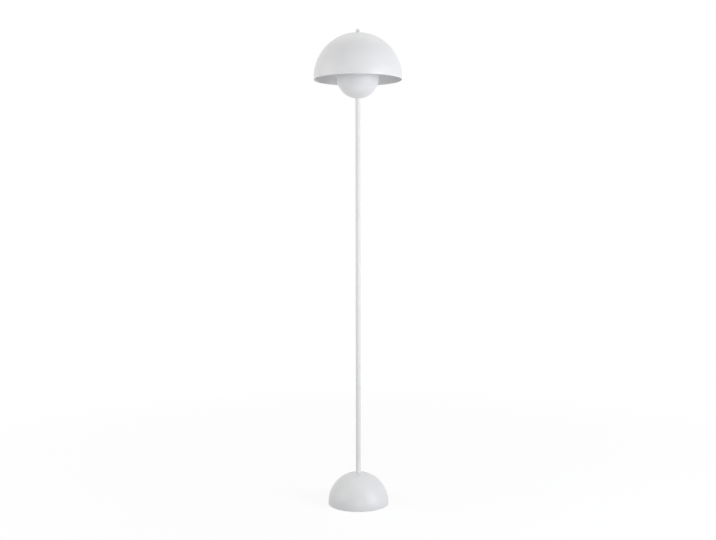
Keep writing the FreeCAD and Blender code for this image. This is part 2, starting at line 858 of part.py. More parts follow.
for piece in [base_pad(), base_shell(), cord_grommet(), base_weight(), cord_clamp(), cord_clamp_screws(),
              terminal_block(), terminal_block_screw()]:
    node(piece)
for piece in base_fasteners():
    node(piece)
node(nipple("base_nipple", "base_nipple_foot", "base_top + thread_hold"))
node(pole_tube("pole_lower", "base_top"))
node(nipple("coupler_nipple", "pole_middle - thread_hold", "pole_middle + thread_hold"))
node(pole_tube("pole_upper", "pole_middle"))
node(pole_inserts())
node(nipple("top_nipple", "pole_top - thread_hold", "holder_foot + holder_entry"))
node(lower_bowl())
for piece in bowl_fasteners():
    node(piece)
for piece in [harp(), harp_stud(), harp_nut(), lampholder_cap(), lampholder_shell(), lampholder_core(),
              lampholder_terminal_screws(), lampholder_screw_shell(), lampholder_contact(),
              lead("lead_brown", -1), lead("lead_blue", 1), bulb_contact(), bulb_insulator(),
              bulb_screw_cap(), bulb_collar(), led_board(), led_chips(), bulb_globe(), shade_seat(),
              upper_shade(), finial_washer(), finial()]:
    node(piece)

doc.recompute()
for item in doc.Objects:
    if "Invalid" in item.State or "Error" in item.State:
        raise RuntimeError(f"{item.Label} failed: {item.State}")
for piece in nodes:
    if piece.Shape.isNull() or not piece.Shape.isValid() or not piece.Shape.Solids:
        raise RuntimeError(f"{piece.Label} has no valid shape")

os.makedirs("parts", exist_ok=True)
for piece in nodes:
    piece.Shape.exportStep(f"parts/{piece.Label}.step")
    print(f"{piece.Label}: {len(piece.Shape.Solids)} solids, {piece.Shape.Volume:.0f} mm3")
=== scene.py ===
import math

import bmesh
import bpy
from mathutils import Matrix, Vector, noise


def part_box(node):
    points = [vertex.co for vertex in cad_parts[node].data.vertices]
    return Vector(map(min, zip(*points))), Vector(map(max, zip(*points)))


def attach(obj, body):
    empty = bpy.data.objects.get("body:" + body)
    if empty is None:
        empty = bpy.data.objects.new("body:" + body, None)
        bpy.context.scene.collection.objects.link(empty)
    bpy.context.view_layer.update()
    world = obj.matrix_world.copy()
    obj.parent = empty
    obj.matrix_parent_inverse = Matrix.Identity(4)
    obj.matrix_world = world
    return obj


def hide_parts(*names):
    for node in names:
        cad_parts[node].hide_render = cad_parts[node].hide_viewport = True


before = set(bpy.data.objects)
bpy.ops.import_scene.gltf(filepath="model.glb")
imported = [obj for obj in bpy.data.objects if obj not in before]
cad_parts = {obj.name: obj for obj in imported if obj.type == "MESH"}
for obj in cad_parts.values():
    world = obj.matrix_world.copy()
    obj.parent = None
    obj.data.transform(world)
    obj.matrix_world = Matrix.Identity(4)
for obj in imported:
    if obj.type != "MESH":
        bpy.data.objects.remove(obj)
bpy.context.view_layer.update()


# --- felt pad -----------------------------------------------------------------------------------------
# The disc of pressed felt glued under the weight, which the lamp stands on. It is stamped from sheet, so
# its edge is square with a little fuzz, and its face is a mat of short fibres that lie every way.

class Signal:
    """An output of a node. Arithmetic on it adds Math nodes to the same tree."""

    def __init__(self, owner, socket):
        self.owner = owner
        self.socket = socket

    def maths(self, operation, *terms):
        return self.owner.node("ShaderNodeMath", {"operation": operation}, *terms)

    def beside(self, output):
        """Another output of the node that this one comes from."""
        return Signal(self.owner, self.socket.node.outputs[output])

    def __add__(self, other):
        return self.maths("ADD", self, other)

    def __sub__(self, other):
        return self.maths("SUBTRACT", self, other)

    def __rsub__(self, other):
        return self.maths("SUBTRACT", other, self)

    def __mul__(self, other):
        return self.maths("MULTIPLY", self, other)

    def __truediv__(self, other):
        return self.maths("DIVIDE", self, other)

    def __rtruediv__(self, other):
        return self.maths("DIVIDE", other, self)

    def __pow__(self, other):
        return self.maths("POWER", self, other)

    def __gt__(self, other):
        return self.maths("GREATER_THAN", self, other)

    __radd__ = __add__
    __rmul__ = __mul__


class Nodes:
    """A tree of nodes, with one way to add a node to it."""

    def node(self, kind, settings, *terms, output=0, **named):
        """Adds a node: its settings first, then the values or signals of its sockets."""
        made = self.tree.nodes.new(kind)
        for name, setting in settings.items():
            setattr(made, name, setting)
        for key, term in [*enumerate(terms), *named.items()]:
            self.feed(made.inputs[key.replace("_", " ") if isinstance(key, str) else key], term)
        return Signal(self, made.outputs[output])

    def feed(self, socket, term):
        if isinstance(term, Signal):
            self.tree.links.new(term.socket, socket)
        else:
            socket.default_value = term

    def spread(self, signal, low, high, first=0.0, last=1.0):
        """A signal's stretch from low to high, laid over first to last and held there."""
        return self.node("ShaderNodeMapRange", {}, signal, low, high, first, last)

    def around(self, place):
        """A place's angle round the lamp's axis, its distance from the axis and its height."""
        x = self.node("ShaderNodeSeparateXYZ", {}, place)
        y = x.beside("Y")
        return x.maths("ARCTAN2", y, x), (x * x + y * y) ** 0.5, x.beside("Z")


class Finish(Nodes):
    """The nodes of one finish, written into a principled surface."""

    def __init__(self, name, **sockets):
        self.material = bpy.data.materials.new(name)
        self.material.use_nodes = True
        self.tree = self.material.node_tree
        self.surface = self.tree.nodes["Principled BSDF"]
        self.place = self.node("ShaderNodeTexCoord", {}, output="Object")
        self.set(**sockets)

    def set(self, **sockets):
        for name, term in sockets.items():
            self.feed(self.surface.inputs[name.replace("_", " ")], term)

    def grain(self, size, detail=2.0, stretch=None):
        """Noise from 0 to 1 with lumps of about this size, in metres, drawn out along an axis if asked."""
        where = self.node("ShaderNodeMapping", {}, self.place, Scale=stretch) if stretch else self.place
        return self.node("ShaderNodeTexNoise", {}, Vector=where, Scale=1.0 / size, Detail=detail)

    def drift(self, share, first, second, smooth, rough):
        """Lets colour and roughness drift together over the surface, by a share from 0 to 1."""
        self.set(Base_Color=self.tint(share, first, second))
        self.set(Roughness=self.spread(share, *noise_range, smooth, rough))

    def tint(self, share, first, second):
        """A colour between two, by a share from 0 to 1."""
        mix = self.tree.nodes.new("ShaderNodeMix")
        mix.data_type = "RGBA"
        for key, term in ((0, share), (6, first), (7, second)):
            self.feed(mix.inputs[key], term)
        return Signal(self, mix.outputs[2])

    def relief(self, height, depth):
        """Bumps the surface by a height from 0 to 1, over a depth in metres."""
        self.set(Normal=self.node("ShaderNodeBump", {}, Height=height, Distance=depth))


# Most of a noise lies in this stretch of 0 to 1.
noise_range = (0.3, 0.7)


def grey(level):
    return (level, level, level, 1.0)


def placed(name, data):
    """A new object in the scene."""
    thing = bpy.data.objects.new(name, data)
    bpy.context.scene.collection.objects.link(thing)
    return thing


def solid(name, shape, sharp=40.0):
    """Makes an object of a finished shape, its faces outwards and smooth up to the sharp angle."""
    bmesh.ops.recalc_face_normals(shape, faces=shape.faces)
    mesh = bpy.data.meshes.new(name)
    shape.to_mesh(mesh)
    shape.free()
    return smoothed(placed(name, mesh), sharp)


def smoothed(piece, sharp=40.0):
    """Shades a piece smooth, but for the edges sharper than an angle in degrees."""
    piece.data.shade_smooth()
    piece.data.set_sharp_from_angle(angle=math.radians(sharp))
    return piece


# A radius under this counts as lying on the axis.
on_axis = 1e-7


def turned(name, outline, sides=192, sharp=40.0):
    """Spins an outline of (radius, height) points, in metres, round the lamp's axis. The outline closes on
    itself, or starts and ends on the axis. A point's third number plays no part."""
    turns = [2 * math.pi * side / sides for side in range(sides)]
    shape = bmesh.new()
    rings = []
    for radius, height, *_ in outline:
        if radius < on_axis:
            rings.append([shape.verts.new((0, 0, height))] * sides)
        else:
            rings.append([
                shape.verts.new((radius * math.cos(turn), radius * math.sin(turn), height)) for turn in turns
            ])
    for lower, upper in zip(rings, rings[1:] + rings[:1]):
        for side in range(sides):
            after = (side + 1) % sides
            corners = dict.fromkeys((lower[side], lower[after], upper[after], upper[side]))
            if len(corners) > 2:
                shape.faces.new(list(corners))
    return solid(name, shape, sharp)


def eased(outline, radius, steps=4):
    """An outline with its corners rounded. A corner may bring its own radius as a third number, and points
    along a curve bring 0, so that they stay."""
    least_turn = 0.02
    most_of_side = 0.49
    points = [Vector(corner[:2]) for corner in outline]
    rounded = []
    for index, corner in enumerate(outline):
        before = points[index - 1]
        here = points[index]
        after = points[(index + 1) % len(points)]
        own = corner[2] if len(corner) > 2 else radius
        into = (here - before).normalized() if here != before else Vector((0, 0))
        out = (after - here).normalized() if here != after else Vector((0, 0))
        turn = into.angle(out, 0.0)
        if own <= 0 or turn < least_turn or here.x < on_axis:
            rounded.append(tuple(here))
            continue
        sides = (here - before).length, (after - here).length
        reach = min(own * math.tan(turn / 2), min(sides) * most_of_side)
        own = reach / math.tan(turn / 2)
        centre = here + (out - into).normalized() * (own / math.cos(turn / 2))
        first = here - into * reach - centre
        side = 1 if into.x * out.y - into.y * out.x > 0 else -1
        for step in range(steps + 1):
            angle = side * turn * step / steps
            cos, sin = math.cos(angle), math.sin(angle)
            rounded.append((centre.x + first.x * cos - first.y * sin,
                            centre.y + first.x * sin + first.y * cos))
    return rounded


def settle(piece, body, finish, slot, *nodes):
    """Gives a piece its finish, and its place among the lamp's bodies."""
    piece.data.materials.clear()
    piece.data.materials.append(finish.material)
    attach(piece, body)
    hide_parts(*nodes)


pad_low, pad_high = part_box("base_pad")
pad_radius = pad_high.x
pad_edge = 0.0004
pad_lift = 0.00012
felt_rings = 60
# Lumps to a metre and their heights. The fray is how strongly a lump also pushes the felt outwards.
fuzz_fine, fuzz_fine_height = 900, 0.00012
fuzz_coarse, fuzz_coarse_height = 260, 0.0001
fuzz_fray = 6
felt_charcoal = grey(0.018)
felt_ash = grey(0.075)

felt = Finish("pressed_felt", Specular_IOR_Level=0.15, Sheen_Weight=0.35, Sheen_Roughness=0.6)
felt_warp = felt.grain(0.006, 3.0)
felt_fibre = felt.grain(0.0007, 6.0)
felt_mat = felt_fibre * 0.7 + felt_warp * 0.3
felt.set(Base_Color=felt.tint(felt.spread(felt_mat, 0.35, 0.65), felt_charcoal, felt_ash))
felt.set(Roughness=felt.spread(felt_warp, *noise_range, 0.88, 0.98))
felt.relief(felt_mat, 0.0006)

felt_face = [(pad_radius * step / felt_rings, pad_low.z, 0.0) for step in range(felt_rings)]
felt_side = [(pad_radius, pad_low.z), (pad_radius, pad_high.z), (0, pad_high.z)]
felt_disc = turned("felt_pad", eased(felt_face + felt_side, pad_edge))
for vertex in felt_disc.data.vertices:
    lump = (noise.noise(vertex.co * fuzz_fine) * fuzz_fine_height
            + noise.noise(vertex.co * fuzz_coarse) * fuzz_coarse_height)
    if vertex.co.z < pad_high.z - pad_edge:
        vertex.co.z = max(pad_low.z, vertex.co.z + pad_lift + lump)
        vertex.co.xy = vertex.co.xy * (1 + lump * fuzz_fray)
settle(felt_disc, "stand", felt, "felt", "base_pad")


# --- cast iron weight ---------------------------------------------------------------------------------
# A green-sand iron casting, blackened, that keeps the lamp upright. It is drawn up against the shell's
# shoulder by the nut under it, and its recess holds the wiring.

def coat(finish, *nodes):
    """Gives parts of the frame a finish where they stand."""
    for node in nodes:
        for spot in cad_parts[node].material_slots:
            spot.material = finish.material


iron = Finish("cast_iron", Metallic=0.75)
iron_sand = iron.grain(0.0005, 3.0)
iron_patch = iron.grain(0.018, 3.0)
iron.set(Base_Color=iron.tint(iron.spread(iron_patch, 0.35, 0.7), grey(0.03), (0.075, 0.062, 0.055, 1)))
iron.set(Roughness=iron.spread(iron_sand + iron_patch, 0.6, 1.4, 0.55, 0.85))
iron.relief(iron_sand * 0.8 + iron_patch * 0.6, 0.00022)
coat(iron, "base_weight")


# --- cord clamp and terminal block --------------------------------------------------------------------
# A moulded nylon bridge that grips the cord in the weight's recess, and the terminal block beside it.
# Zinc-plated pan-head screws, their threads rolled, hold both to the iron.

def result(piece, modifier):
    """The plain mesh that a modifier makes of a piece. The modifier is used up."""
    bpy.context.view_layer.update()
    made = bpy.data.meshes.new_from_object(piece.evaluated_get(bpy.context.evaluated_depsgraph_get()))
    piece.modifiers.remove(modifier)
    return made


class Recipe(Nodes):
    """A tree that works on a piece's mesh, with named sizes in metres or counts."""

    def __init__(self, name, **sizes):
        self.tree = bpy.data.node_groups.new(name, "GeometryNodeTree")
        face = self.tree.interface
        face.new_socket("Blank", in_out="INPUT", socket_type="NodeSocketGeometry")
        for size, start in sizes.items():
            kind = "NodeSocketObject" if start is None else "NodeSocketFloat"
            socket = face.new_socket(size, in_out="INPUT", socket_type=kind)
            if start is not None:
                socket.default_value = start
        face.new_socket("Finish", in_out="INPUT", socket_type="NodeSocketMaterial")
        face.new_socket("Made", in_out="OUTPUT", socket_type="NodeSocketGeometry")
        self.given = self.tree.nodes.new("NodeGroupInput")
        self.blank = self.size("Blank")

    def size(self, name):
        return Signal(self, self.given.outputs[name])

    def sizes(self, *names):
        return [self.size(name) for name in names]

    def points(self):
        """The points' angles round the lamp's axis, distances from it and heights."""
        return self.around(self.node("GeometryNodeInputPosition", {}))

    def swell(self, angle, change, rise=0.0):
        """Moves every point outwards from the axis by a change, and up by a rise."""
        outwards = self.node("ShaderNodeCombineXYZ", {}, angle.maths("COSINE", angle) * change,
                             angle.maths("SINE", angle) * change, rise)
        self.end(self.node("GeometryNodeSetPosition", {}, self.blank, Offset=outwards))

    def end(self, shape):
        real = self.node("GeometryNodeRealizeInstances", {}, shape)
        painted = self.node("GeometryNodeSetMaterial", {}, real, Material=self.size("Finish"))
        self.tree.links.new(painted.socket, self.tree.nodes.new("NodeGroupOutput").inputs[0])

    def work(self, piece, finish, sharp=40.0, **sizes):
        """Runs the tree on a piece and keeps the plain mesh that comes out."""
        modifier = piece.modifiers.new(self.tree.name, "NODES")
        modifier.node_group = self.tree
        keys = {item.name: item.identifier for item in self.tree.interface.items_tree}
        modifier[keys["Finish"]] = finish.material
        for name, size in sizes.items():
            modifier[keys[name]] = size
        piece.data = result(piece, modifier)
        return smoothed(piece, sharp)


def thread_recipe():
    """A right-hand thread raised on the walls outside a radius, between two heights. Roundness 0 gives a cut
    thread's straight flanks, and 1 a rolled sheet's waves."""
    recipe = Recipe("thread", pitch=0.001, depth=0.0005, low=0.0, high=1.0, wall=0.0, roundness=0.0)
    pitch, depth, low, high, wall, roundness = recipe.sizes(
        "pitch", "depth", "low", "high", "wall", "roundness")
    angle, radius, height = recipe.points()
    turns = height / pitch - angle * (0.5 / math.pi)
    flank = turns.maths("ABSOLUTE", turns.maths("FRACT", turns) * 2.0 - 1.0)
    wave = turns.maths("COSINE", turns * (2 * math.pi)) * 0.5 + 0.5
    crest = flank + (wave - flank) * roundness
    fade = pitch * 0.8
    runout = recipe.spread(height, low, low + fade) * recipe.spread(height, high - fade, high, 1.0, 0.0)
    recipe.swell(angle, crest * runout * depth * (radius > wall))
    return recipe


def set_out_recipe():
    """One pattern piece set out at each of a piece's points."""
    recipe = Recipe("set_out", pattern=None)
    pattern = recipe.node("GeometryNodeObjectInfo", {}, recipe.size("pattern"), output="Geometry")
    recipe.end(recipe.node("GeometryNodeInstanceOnPoints", {}, recipe.blank, Instance=pattern))
    return recipe


thread = thread_recipe()
set_out = set_out_recipe()


def set_out_at(name, pattern, places, finish):
    """Copies of a pattern at the given places, as one piece. The pattern itself is used up."""
    mesh = bpy.data.meshes.new(name)
    mesh.from_pydata(places, [], [])
    row = placed(name, mesh)
    set_out.work(row, finish, pattern=pattern)
    bpy.data.objects.remove(pattern)
    return row


def moulded(name, low, high, edge, steps=3):
    """A block between two corners, with all its edges rounded."""
    shape = bmesh.new()
    place = Matrix.Translation((low + high) / 2) @ Matrix.Diagonal((*(high - low), 1))
    bmesh.ops.create_cube(shape, size=1.0, matrix=place)
    bmesh.ops.bevel(shape, geom=shape.edges[:], offset=edge, segments=steps, affect="EDGES", profile=0.5)
    return solid(name, shape)


# Points that a cut leaves closer than this are merged.
cut_slack = 0.000001


def carve(piece, tool):
    """Takes a tool's shape out of a piece, and the tool away."""
    cutter = piece.modifiers.new("cut", "BOOLEAN")
    cutter.object = tool
    cutter.solver = "EXACT"
    made = result(piece, cutter)
    bpy.data.objects.remove(tool)
    shape = bmesh.new()
    shape.from_mesh(made)
    bmesh.ops.remove_doubles(shape, verts=shape.verts, dist=cut_slack)
    bmesh.ops.dissolve_degenerate(shape, edges=shape.edges, dist=cut_slack)
    shape.to_mesh(made)
    shape.free()
    piece.data = made
    return smoothed(piece)


# How far clear of the material a drill starts and ends.
drill_past = 0.01


def bore(piece, radius, start, end, sides=64):
    """Cuts a round hole through a piece, from one point to another."""
    start, end = Vector(start), Vector(end)
    turn = (end - start).to_track_quat("Z", "Y").to_matrix().to_4x4()
    drill = bmesh.new()
    bmesh.ops.create_cone(drill, cap_ends=True, segments=sides, radius1=radius, radius2=radius,
                          depth=(end - start).length, matrix=Matrix.Translation((start + end) / 2) @ turn)
    carve(piece, solid("drill", drill))


def rows(radius, low, high, spacing):
    """Closely spaced points up a straight wall, for a thread or ribs to be raised on."""
    count = max(2, math.ceil(abs(high - low) / spacing))
    return [(radius, low + (high - low) * step / count, 0.0) for step in range(count + 1)]


pan_head = 0.0028
pan_crown = 0.002


def pan_screw(finish, hold):
    """A slotted pan-head screw pointing up, with its head's seat at height 0."""
    shank, root, pitch = 0.0015, 0.00122, 0.0005
    tip = root * 0.7
    seat_edge = 0.0002
    outline = eased([
        (0, -pan_crown),
        (pan_head, -pan_crown, pan_head / 2),
        (pan_head, 0, seat_edge),
        (shank, 0, seat_edge / 2),
        *rows(root, pitch, hold - pitch, pitch / 6),
        (tip, hold, 0.0),
        (0, hold),
    ], seat_edge, 5)
    screw = turned("pan_screw", outline, 36)
    thread.work(screw, finish, pitch=pitch, depth=shank - root, low=seat_edge, high=hold, wall=root * 0.9)
    slot_half, slot_depth = 0.0004, 0.001
    slot = moulded("slot", Vector((-2 * pan_head, -slot_half, -2 * pan_crown)),
                   Vector((2 * pan_head, slot_half, slot_depth - pan_crown)), slot_half / 4, 1)
    return carve(screw, slot)


zinc = Finish("zinc_plate", Metallic=1.0)
zinc_cloud = zinc.grain(0.006, 3.0)
zinc_draw = zinc.grain(0.0006, 3.0, (1.0, 1.0, 0.15))
zinc_pit = zinc.grain(0.00025, 2.0)
zinc_blue = (0.56, 0.58, 0.62, 1)
zinc_straw = (0.68, 0.67, 0.64, 1)
zinc.set(Base_Color=zinc.tint(zinc.spread(zinc_cloud, *noise_range), zinc_blue, zinc_straw))
zinc.set(Roughness=zinc.spread(zinc_cloud * 0.5 + zinc_draw * 0.5, *noise_range, 0.24, 0.42))
zinc.relief(zinc_draw * 0.6 + zinc_pit * 0.4, 0.00002)

nylon = Finish("natural_nylon", Specular_IOR_Level=0.45, Subsurface_Weight=0.08, Subsurface_Scale=0.002)
nylon_flow = nylon.grain(0.005, 3.0, (0.4, 1.0, 1.0))
nylon.drift(nylon_flow, (0.70, 0.69, 0.63, 1), (0.78, 0.775, 0.73, 1), 0.38, 0.52)
nylon.relief(nylon.grain(0.0006, 3.0), 0.00003)

clamp_low, clamp_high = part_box("cord_clamp")
clamp_edge = 0.0009
clamp_middle = (clamp_low.y + clamp_high.y) / 2
screw_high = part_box("cord_clamp_screws")[1]
screw_side = screw_high.x - pan_head
screw_hole = 0.00155
cord_radius = 0.00325
tunnel = clamp_high.z - cord_radius / 2
clamp = moulded("cord_clamp_bridge", clamp_low, clamp_high, clamp_edge)
bore(clamp, cord_radius, (0, clamp_low.y - drill_past, tunnel), (0, clamp_high.y + drill_past, tunnel))
for side in (-screw_side, screw_side):
    bore(clamp, screw_hole, (side, clamp_middle, clamp_low.z - drill_past),
         (side, clamp_middle, clamp_high.z + drill_past), 32)
settle(clamp, "stand", nylon, "nylon", "cord_clamp")

clamp_screws = set_out_at("cord_clamp_screw_pair", pan_screw(zinc, screw_high.z - clamp_low.z),
                          [(side, clamp_middle, clamp_low.z) for side in (-screw_side, screw_side)], zinc)
settle(clamp_screws, "stand", zinc, "zinc_steel", "cord_clamp_screws")

block_low, block_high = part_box("terminal_block")
block_screw_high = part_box("terminal_block_screw")[1]
block_x = (block_low.x + block_high.x) / 2
block_edge = 0.0007
wire_hole = 0.0019
wire_side = 0.0055
wire_height = block_high.z - 0.005
wire_depth = 0.004
block = moulded("terminal_block_body", block_low, block_high, block_edge)
bore(block, screw_hole, (block_x, 0, block_low.z - drill_past), (block_x, 0, block_high.z + drill_past), 32)
for side in (-wire_side, wire_side):
    bore(block, wire_hole, (block_low.x - drill_past, side, wire_height),
         (block_low.x + wire_depth, side, wire_height), 32)
settle(block, "stand", nylon, "nylon", "terminal_block")
block_screw = set_out_at("terminal_block_fixing", pan_screw(zinc, block_screw_high.z - block_low.z),
                         [(block_x, 0, block_low.z)], zinc)
settle(block_screw, "stand", zinc, "zinc_steel", "terminal_block_screw")


# --- base shell ---------------------------------------------------------------------------------------
# Steel sheet spun to a dome over the weight, its lower edge turned smooth, coated inside and out with
# satin white powder. The cord leaves through a punched hole low at the back.

def powder_coat(name, crown=None, reach=1.0):
    """Satin white powder over steel: faint orange peel in a coat that lies a little unevenly and, on spun
    pieces, the spinning tool's rings under it, by the angle from the crown's centre."""
    white = (0.82, 0.822, 0.828, 1)
    bright_white = (0.855, 0.855, 0.857, 1)
    ring_pitch = 0.0034
    made = Finish(name, Specular_IOR_Level=0.45, Coat_Weight=0.25, Coat_Roughness=0.22)
    cloud = made.grain(0.045, 3.0)
    peel = made.grain(0.0019, 2.0)
    fine = made.grain(0.0005, 3.0)
    made.set(Base_Color=made.tint(made.spread(cloud, *noise_range), white, bright_white))
    made.set(Roughness=made.spread(cloud * 0.6 + fine * 0.4, *noise_range, 0.33, 0.42))
    height = peel * 0.7 + fine * 0.25
    if crown is not None:
        _, radius, level = made.around(made.place)
        slope = radius.maths("ARCTAN2", radius, level - crown)
        rings = radius.maths("SINE", slope * (2 * math.pi * reach / ring_pitch))
        height = height + rings * cloud * 0.08
    made.relief(height, 0.00016)
    return made


shell_low, shell_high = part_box("base_shell")
shell_radius = shell_high.x
shell_wall = 0.0015
shell_skirt = 0.003
shell_centre = shell_low.z + shell_skirt
tube_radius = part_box("base_nipple")[1].x
tube_play = 0.0003


def curve(centre, radius, first, last, steps):
    """Points on a circle about a height on the axis, between two angles above the horizontal, marked to
    stay as they are."""
    angles = [math.radians(first + (last - first) * step / steps) for step in range(steps + 1)]
    return [(radius * math.cos(angle), centre + radius * math.sin(angle), 0.0) for angle in angles]


def dome_outline(radius, wall, centre, edge, top, hole, steps=96):
    """A spun shell in section: from its turned edge up its outside to the flat at the crown, and back down
    its inside. A bowl is the same with its top below its edge. The crown's flat blends softly into the
    curve, which stops a little before it."""
    stop, blend, punched = 0.009, 0.06, 0.0002
    up = 1 if top > edge else -1
    lip = wall * 0.49
    sides = []
    for size, rise in ((radius, abs(top - centre)), (radius - wall, abs(top - centre) - wall)):
        last = math.asin(rise / size)
        side = [(x, centre + up * (z - centre), keep)
                for x, z, keep in curve(centre, size, 0, math.degrees(last - stop / size), steps)]
        sides.append(side + [(size * math.cos(last), centre + up * rise, blend)])
    outer, inner = sides
    return eased([(radius - wall, edge, lip), (radius, edge, lip), *outer, (hole, top, punched),
                  (hole, top - up * wall, punched), *reversed(inner)], lip, 6)


shell_white = powder_coat("powder_white_base", shell_centre, shell_radius)
shell = turned("base_dome", dome_outline(shell_radius, shell_wall, shell_centre, shell_low.z, shell_high.z,
                                         tube_radius + tube_play))
grommet_low, grommet_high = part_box("cord_grommet")
cord_height = (grommet_low.z + grommet_high.z) / 2
grommet_lip = 0.0015
grommet_neck = grommet_high.x - grommet_lip
bore(shell, grommet_neck, (0, shell_radius * 0.8, cord_height), (0, shell_radius * 1.2, cord_height))
settle(shell, "stand", shell_white, "white_lacquer", "base_shell")


# --- cord grommet -------------------------------------------------------------------------------------
# A white rubber grommet pressed into the shell's hole. Its two lips follow the dome on the outside and
# on the inside, and its bore is what the mains cord would pass through.

rubber = Finish("grommet_rubber", Specular_IOR_Level=0.35)
rubber_bloom = rubber.grain(0.004, 3.0)
rubber.drift(rubber_bloom, grey(0.55), grey(0.64), 0.55, 0.7)
rubber.relief(rubber.grain(0.0005, 3.0), 0.00004)

grommet_depth = 0.0016
grommet_fit = 0.00005
lip_radius = grommet_high.x
grommet_outline = eased([
    (cord_radius, -shell_wall - grommet_depth, 0.0004),
    (lip_radius, -shell_wall - grommet_depth, 0.0005),
    (lip_radius, -shell_wall - grommet_fit, 0.0002),
    (grommet_neck, -shell_wall - grommet_fit, 0.0),
    (grommet_neck, grommet_fit, 0.0),
    (lip_radius, grommet_fit, 0.0002),
    (lip_radius, grommet_depth, 0.0007),
    (cord_radius, grommet_depth, 0.0006),
], 0.0003, 5)
grommet = turned("cord_hole_grommet", grommet_outline, 72)
for vertex in grommet.data.vertices:
    across, along, up = vertex.co.x, vertex.co.z, vertex.co.y + cord_height
    wall_face = math.sqrt(shell_radius ** 2 - across ** 2 - (up - shell_centre) ** 2)
    vertex.co = Vector((across, wall_face + along, up))
grommet.data.flip_normals()
settle(grommet, "stand", rubber, "rubber_white", "cord_grommet")


# --- threaded tubes -----------------------------------------------------------------------------------
# Three lengths of 10 mm threaded steel tube: one through the weight into the pole, one between the two
# pole tubes, and one from the pole through bowl and harp into the lampholder. The leads run inside.

tube_pitch = 0.001
tube_thread = 0.0005
tube_bore = 0.0038
tube_chamfer = 0.0006


def threaded_tube(name, node):
    """A zinc-plated tube threaded all along, from one end of its node to the other."""
    low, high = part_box(node)
    root = tube_radius - tube_thread
    burr = 0.0001
    outline = eased([
        (tube_bore, low.z),
        (root - burr, low.z, burr),
        *rows(root, low.z + tube_chamfer / 2, high.z - tube_chamfer / 2, tube_pitch / 6),
        (root - burr, high.z, burr),
        (tube_bore, high.z),
    ], 2 * burr, 3)
    tube = turned(name, outline, 40)
    thread.work(tube, zinc, pitch=tube_pitch, depth=tube_thread, low=low.z, high=high.z, wall=root * 0.97)
    settle(tube, "stand", zinc, "zinc_steel", node)


threaded_tube("base_threaded_tube", "base_nipple")
threaded_tube("coupling_threaded_tube", "coupler_nipple")
threaded_tube("top_threaded_tube", "top_nipple")


# --- base washer, toothed washer and nut --------------------------------------------------------------
# They draw the weight, the shell and the pole together. The nut is a hexagon cut on a turned blank, whose
# chamfers leave the usual arcs on its flats. The toothed washer's teeth are punched and twisted.

def flats_recipe():
    """A turned blank with flats milled on it."""
    recipe = Recipe("flats", count=6.0, across=0.01)
    count, across = recipe.sizes("count", "across")
    angle, radius, _ = recipe.points()
    share = angle * count * (0.5 / math.pi)
    off_middle = (share.maths("FRACT", share) - 0.5) * (2 * math.pi) / count
    face = across / angle.maths("COSINE", off_middle)
    recipe.swell(angle, radius.maths("MINIMUM", radius, face) - radius)
    return recipe


def flutes_recipe():
    """Grooves cut down a wall outside a radius, between two heights. Flank is the share of the wave that a
    groove's sides take, and twist turns the lands out of level, as a lock washer's teeth."""
    recipe = Recipe("flutes", count=24.0, depth=0.0005, low=0.0, high=1.0, wall=0.0, flank=0.5, twist=0.0)
    count, depth, low, high, wall, flank, twist = recipe.sizes(
        "count", "depth", "low", "high", "wall", "flank", "twist")
    angle, radius, height = recipe.points()
    wave = angle.maths("COSINE", angle * count)
    groove = recipe.node("ShaderNodeMapRange", {"interpolation_type": "SMOOTHSTEP"}, wave, 0.0 - flank, flank)
    fade = depth * 2
    band = recipe.spread(height, low, low + fade) * recipe.spread(height, high - fade, high, 1.0, 0.0)
    outside = radius > wall
    recipe.swell(angle, groove * band * outside * depth * -1.0,
                 angle.maths("SINE", angle * count) * twist * outside)
    return recipe


flats = flats_recipe()
flutes = flutes_recipe()

thread_play = 0.00005
nut_hole = tube_radius + thread_play
nut_wall = 0.002


def washer(name, node, finish, slot, body="stand", hole=nut_hole):
    """A flat washer with its edges a little rounded by the punch."""
    punched = 0.00025
    low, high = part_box(node)
    corners = [(hole, low.z), (high.x, low.z), (high.x, high.z), (hole, high.z)]
    settle(turned(name, eased(corners, punched, 3), 96), body, finish, slot, node)


def hex_nut(name, node, hole, wall):
    """A nut by its hole's radius and the metal left between the hole and the flats."""
    low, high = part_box(node)
    across = hole + wall
    corner = across / math.cos(math.pi / 6)
    face = across * 0.97
    chamfer = (corner - across) * 0.6
    entry = 0.0003
    steps = 8
    cone = [(face + (corner - face) * step / steps, low.z + chamfer * step / steps)
            for step in range(steps + 1)]
    outline = [(hole + entry, low.z), *cone, *[(x, low.z + high.z - z) for x, z in reversed(cone)],
               (hole + entry, high.z), (hole, high.z - entry), (hole, low.z + entry)]
    nut = turned(name, outline, 120)
    flats.work(nut, zinc, sharp=25.0, across=across)
    settle(nut, "stand", zinc, "zinc_steel", node)


washer("base_flat_washer", "base_washer", zinc, "zinc_steel")
hex_nut("base_hex_nut", "base_nut", nut_hole, nut_wall)

teeth_low, teeth_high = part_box("base_lock_washer")
teeth_count = 12.0
teeth_depth = 0.0016
teeth_twist = 0.0002
teeth_root = 0.0072
toothed = turned("base_toothed_washer", [
    (nut_hole, teeth_low.z + teeth_twist),
    (teeth_root, teeth_low.z + teeth_twist),
    (teeth_high.x, teeth_low.z + teeth_twist),
    (teeth_high.x, teeth_high.z - teeth_twist),
    (teeth_root, teeth_high.z - teeth_twist),
    (nut_hole, teeth_high.z - teeth_twist),
], 240)
flutes.work(toothed, zinc, count=teeth_count, depth=teeth_depth, wall=teeth_root * 1.01, twist=teeth_twist)
settle(toothed, "stand", zinc, "zinc_steel", "base_lock_washer")


# --- pole ---------------------------------------------------------------------------------------------
# Two lengths of 13 mm steel tube, butted and screwed together at mid-height over a hidden threaded tube,
# their ends broken by a fine bevel that leaves a hairline at the joint. Steel plugs are pressed into them.

